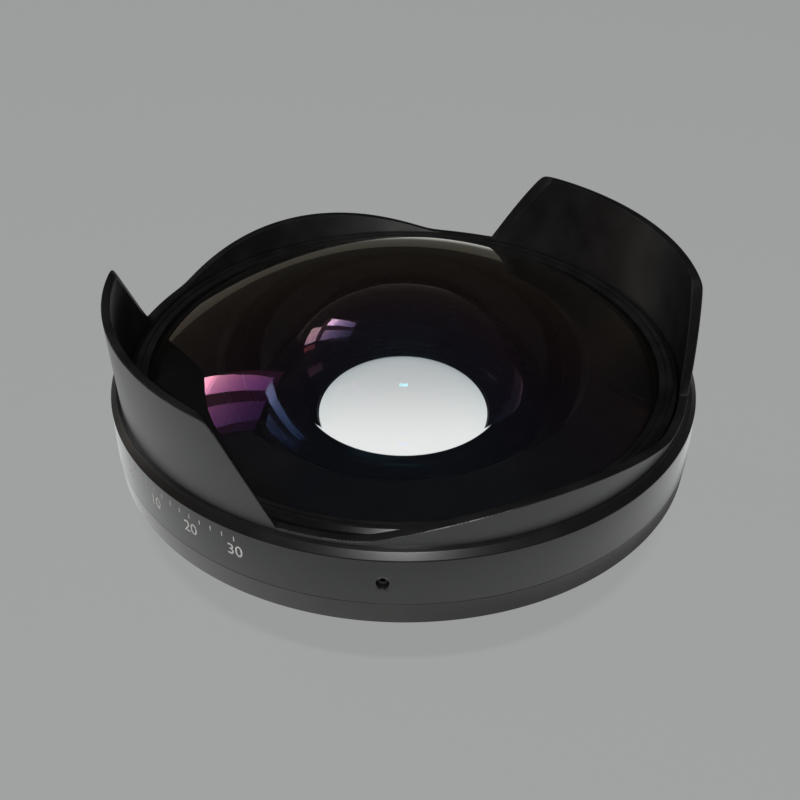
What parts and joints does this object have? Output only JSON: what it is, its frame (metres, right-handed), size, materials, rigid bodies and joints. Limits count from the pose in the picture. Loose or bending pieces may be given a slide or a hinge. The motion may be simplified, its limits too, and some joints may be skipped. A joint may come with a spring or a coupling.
{
  "type": "fisheye lens",
  "caption": "Black fisheye converter lens with a large domed front glass, a turning petal hood held by grub screws, and a male filter thread at the rear.",
  "frame": {"origin": "centre of the rear end face, on the optical axis", "axes": "+Z along the optical axis towards the front glass, +X through the middle of one tall hood petal, +Y through the middle of one short hood petal"},
  "size_m": [0.104, 0.104, 0.0524],
  "materials": {
    "anodised": "satin black anodised",
    "anodised_dark": "fine turned black anodised",
    "inner_black": "matt black",
    "optical_glass": "coated optical glass",
    "screw_steel": "zinc plated",
    "screw_black": "black oxide",
    "seal": "matt black",
    "slip": "white slip polymer"
  },
  "bodies": {
    "lens_body": {"barrel": "anodised", "hood_washer": "slip", "rear_housing": "anodised_dark", "housing_screws": "screw_steel", "front_cell": "inner_black", "cell_screws": "screw_steel", "front_element": "optical_glass", "front_seat_gasket": "seal", "front_seal_ring": "seal", "front_retaining_ring": "anodised", "second_element": "optical_glass", "second_retaining_ring": "inner_black", "light_baffle": "inner_black", "rear_cell": "inner_black", "rear_cell_screws": "screw_steel", "rear_element": "optical_glass", "rear_retaining_ring": "inner_black", "mount_ring": "anodised", "mount_screws": "screw_steel"},
    "hood": {"petal_hood": "anodised"},
    "grub_1": {"grub_screw_1": "screw_black"},
    "grub_2": {"grub_screw_2": "screw_black"},
    "grub_3": {"grub_screw_3": "screw_black"}
  },
  "joints": [
    {"name": "hood_turn", "type": "hinge", "parent": "lens_body", "child": "hood", "pos_m": [0, 0, 0.035], "axis": [0, 0, 1], "continuous": true},
    {"name": "grub_1_back_out", "type": "slide", "parent": "lens_body", "child": "grub_1", "axis": [1, 0, 0], "range_m": [0, 0.0008]},
    {"name": "grub_2_back_out", "type": "slide", "parent": "lens_body", "child": "grub_2", "axis": [-0.5, 0.866, 0], "range_m": [0, 0.0008]},
    {"name": "grub_3_back_out", "type": "slide", "parent": "lens_body", "child": "grub_3", "axis": [-0.5, -0.866, 0], "range_m": [0, 0.0008]}
  ]
}
